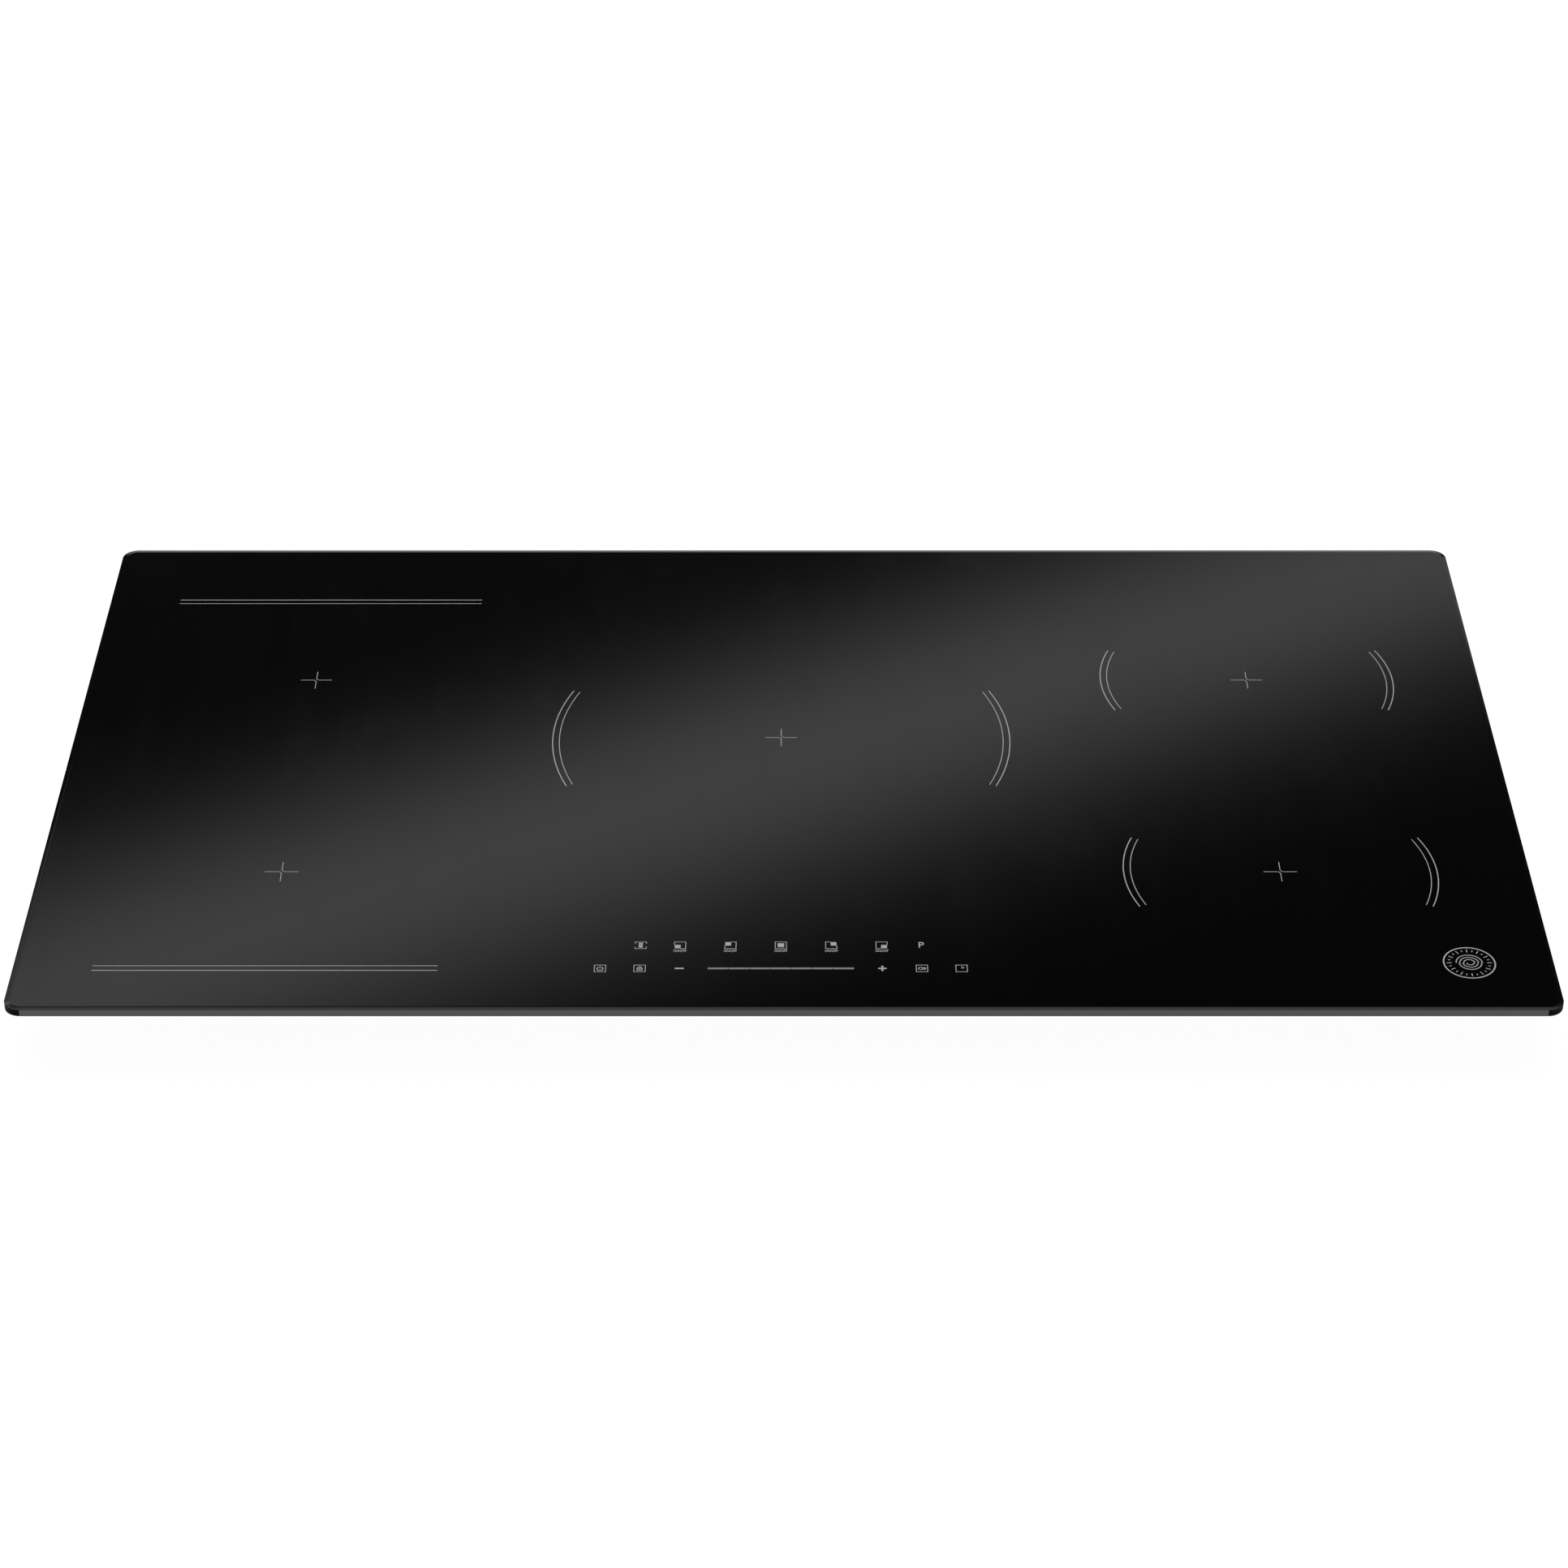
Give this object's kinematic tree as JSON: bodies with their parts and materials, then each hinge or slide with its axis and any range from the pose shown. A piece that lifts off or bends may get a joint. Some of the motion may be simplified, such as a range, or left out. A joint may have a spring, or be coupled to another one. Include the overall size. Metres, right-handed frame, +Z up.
{
  "type": "electric induction cooktop",
  "caption": "Drop-in induction hob: flat black glass plate over a stepped sheet-metal pan with coils, blowers, power boards, a wiring box with a hinged lid and swing-out worktop clamps.",
  "frame": {"origin": "centre of the outline, on the underside of the sheet-metal pan", "axes": "+X to the right of the user, +Y away from the user, +Z up through the glass"},
  "size_m": [0.896, 0.52, 0.052],
  "materials": {
    "glass_black": "gloss",
    "foam_black": "matte",
    "steel_galvanised": "satin",
    "aluminium_sheet": "satin",
    "aluminium_extruded": "satin",
    "steel_zinc": "satin",
    "copper_winding": "satin",
    "fibre_white": "matte",
    "plastic_black": "matte",
    "plastic_grey": "matte",
    "plastic_white": "satin",
    "circuit_board": "satin",
    "ferrite_grey": "matte",
    "cable_grey": "satin",
    "print_grey": "satin"
  },
  "bodies": {
    "housing": {"base_box": "steel_galvanised", "base_tray": "steel_galvanised", "coil_carrier_centre": "aluminium_sheet", "coil_carrier_left": "aluminium_sheet", "coil_carrier_right": "aluminium_sheet", "coil_former_centre": "plastic_black", "coil_former_left_front": "plastic_black", "coil_former_left_rear": "plastic_black", "coil_former_right_front": "plastic_black", "coil_former_right_rear": "plastic_black", "control_board": "circuit_board", "control_tray": "plastic_black", "fan_grille_left": "plastic_black", "fan_grille_right": "plastic_black", "fan_housing_left": "plastic_black", "fan_housing_right": "plastic_black", "filter_board": "circuit_board", "filter_choke": "ferrite_grey", "filter_tray": "plastic_grey", "glass_frame": "steel_galvanised", "glass_top": "glass_black", "heat_sink_left": "aluminium_extruded", "heat_sink_right": "aluminium_extruded", "insulation_centre": "fibre_white", "insulation_left_front": "fibre_white", "insulation_left_rear": "fibre_white", "insulation_right_front": "fibre_white", "insulation_right_rear": "fibre_white", "light_guide": "plastic_white", "mains_harness": "cable_grey", "module_tray_left": "plastic_grey", "module_tray_right": "plastic_grey", "power_board_left": "circuit_board", "power_board_right": "circuit_board", "sensor_centre": "plastic_white", "sensor_left_front": "plastic_white", "sensor_left_rear": "plastic_white", "sensor_right_front": "plastic_white", "sensor_right_rear": "plastic_white", "terminal_block": "plastic_white", "terminal_box": "plastic_black", "terminal_lid_pin": "steel_zinc", "winding_centre_inner": "copper_winding", "winding_centre_outer": "copper_winding", "winding_left_front": "copper_winding", "winding_left_rear": "copper_winding", "winding_right_front": "copper_winding", "winding_right_rear": "copper_winding", "worktop_seal": "foam_black"},
    "fan_left": {"fan_rotor_left": "plastic_black"},
    "fan_right": {"fan_rotor_right": "plastic_black"},
    "terminal_door": {"terminal_lid": "plastic_black"},
    "clamp_front_left": {"clamp_front_left": "steel_zinc", "clamp_screw_front_left": "steel_zinc"},
    "clamp_front_right": {"clamp_front_right": "steel_zinc", "clamp_screw_front_right": "steel_zinc"},
    "clamp_rear_left": {"clamp_rear_left": "steel_zinc", "clamp_screw_rear_left": "steel_zinc"},
    "clamp_rear_right": {"clamp_rear_right": "steel_zinc", "clamp_screw_rear_right": "steel_zinc"}
  },
  "joints": [
    {"name": "fan_left_spin", "type": "hinge", "parent": "housing", "child": "fan_left", "pos_m": [-0.25, 0.112, 0.018], "axis": [0, 0, 1], "continuous": true},
    {"name": "fan_right_spin", "type": "hinge", "parent": "housing", "child": "fan_right", "pos_m": [0.05, 0.112, 0.018], "axis": [0, 0, 1], "continuous": true},
    {"name": "terminal_door_hinge", "type": "hinge", "parent": "housing", "child": "terminal_door", "pos_m": [0.315, 0.2341, 0.005], "axis": [-1, 0, 0], "range_deg": [0, 90]},
    {"name": "clamp_front_left_swing", "type": "hinge", "parent": "housing", "child": "clamp_front_left", "pos_m": [-0.41, -0.13, 0.01], "axis": [0, 0, 1], "range_deg": [0, 90]},
    {"name": "clamp_front_right_swing", "type": "hinge", "parent": "housing", "child": "clamp_front_right", "pos_m": [0.41, -0.13, 0.01], "axis": [0, 0, -1], "range_deg": [0, 90]},
    {"name": "clamp_rear_left_swing", "type": "hinge", "parent": "housing", "child": "clamp_rear_left", "pos_m": [-0.41, 0.13, 0.01], "axis": [0, 0, -1], "range_deg": [0, 90]},
    {"name": "clamp_rear_right_swing", "type": "hinge", "parent": "housing", "child": "clamp_rear_right", "pos_m": [0.41, 0.13, 0.01], "axis": [0, 0, 1], "range_deg": [0, 90]}
  ]
}
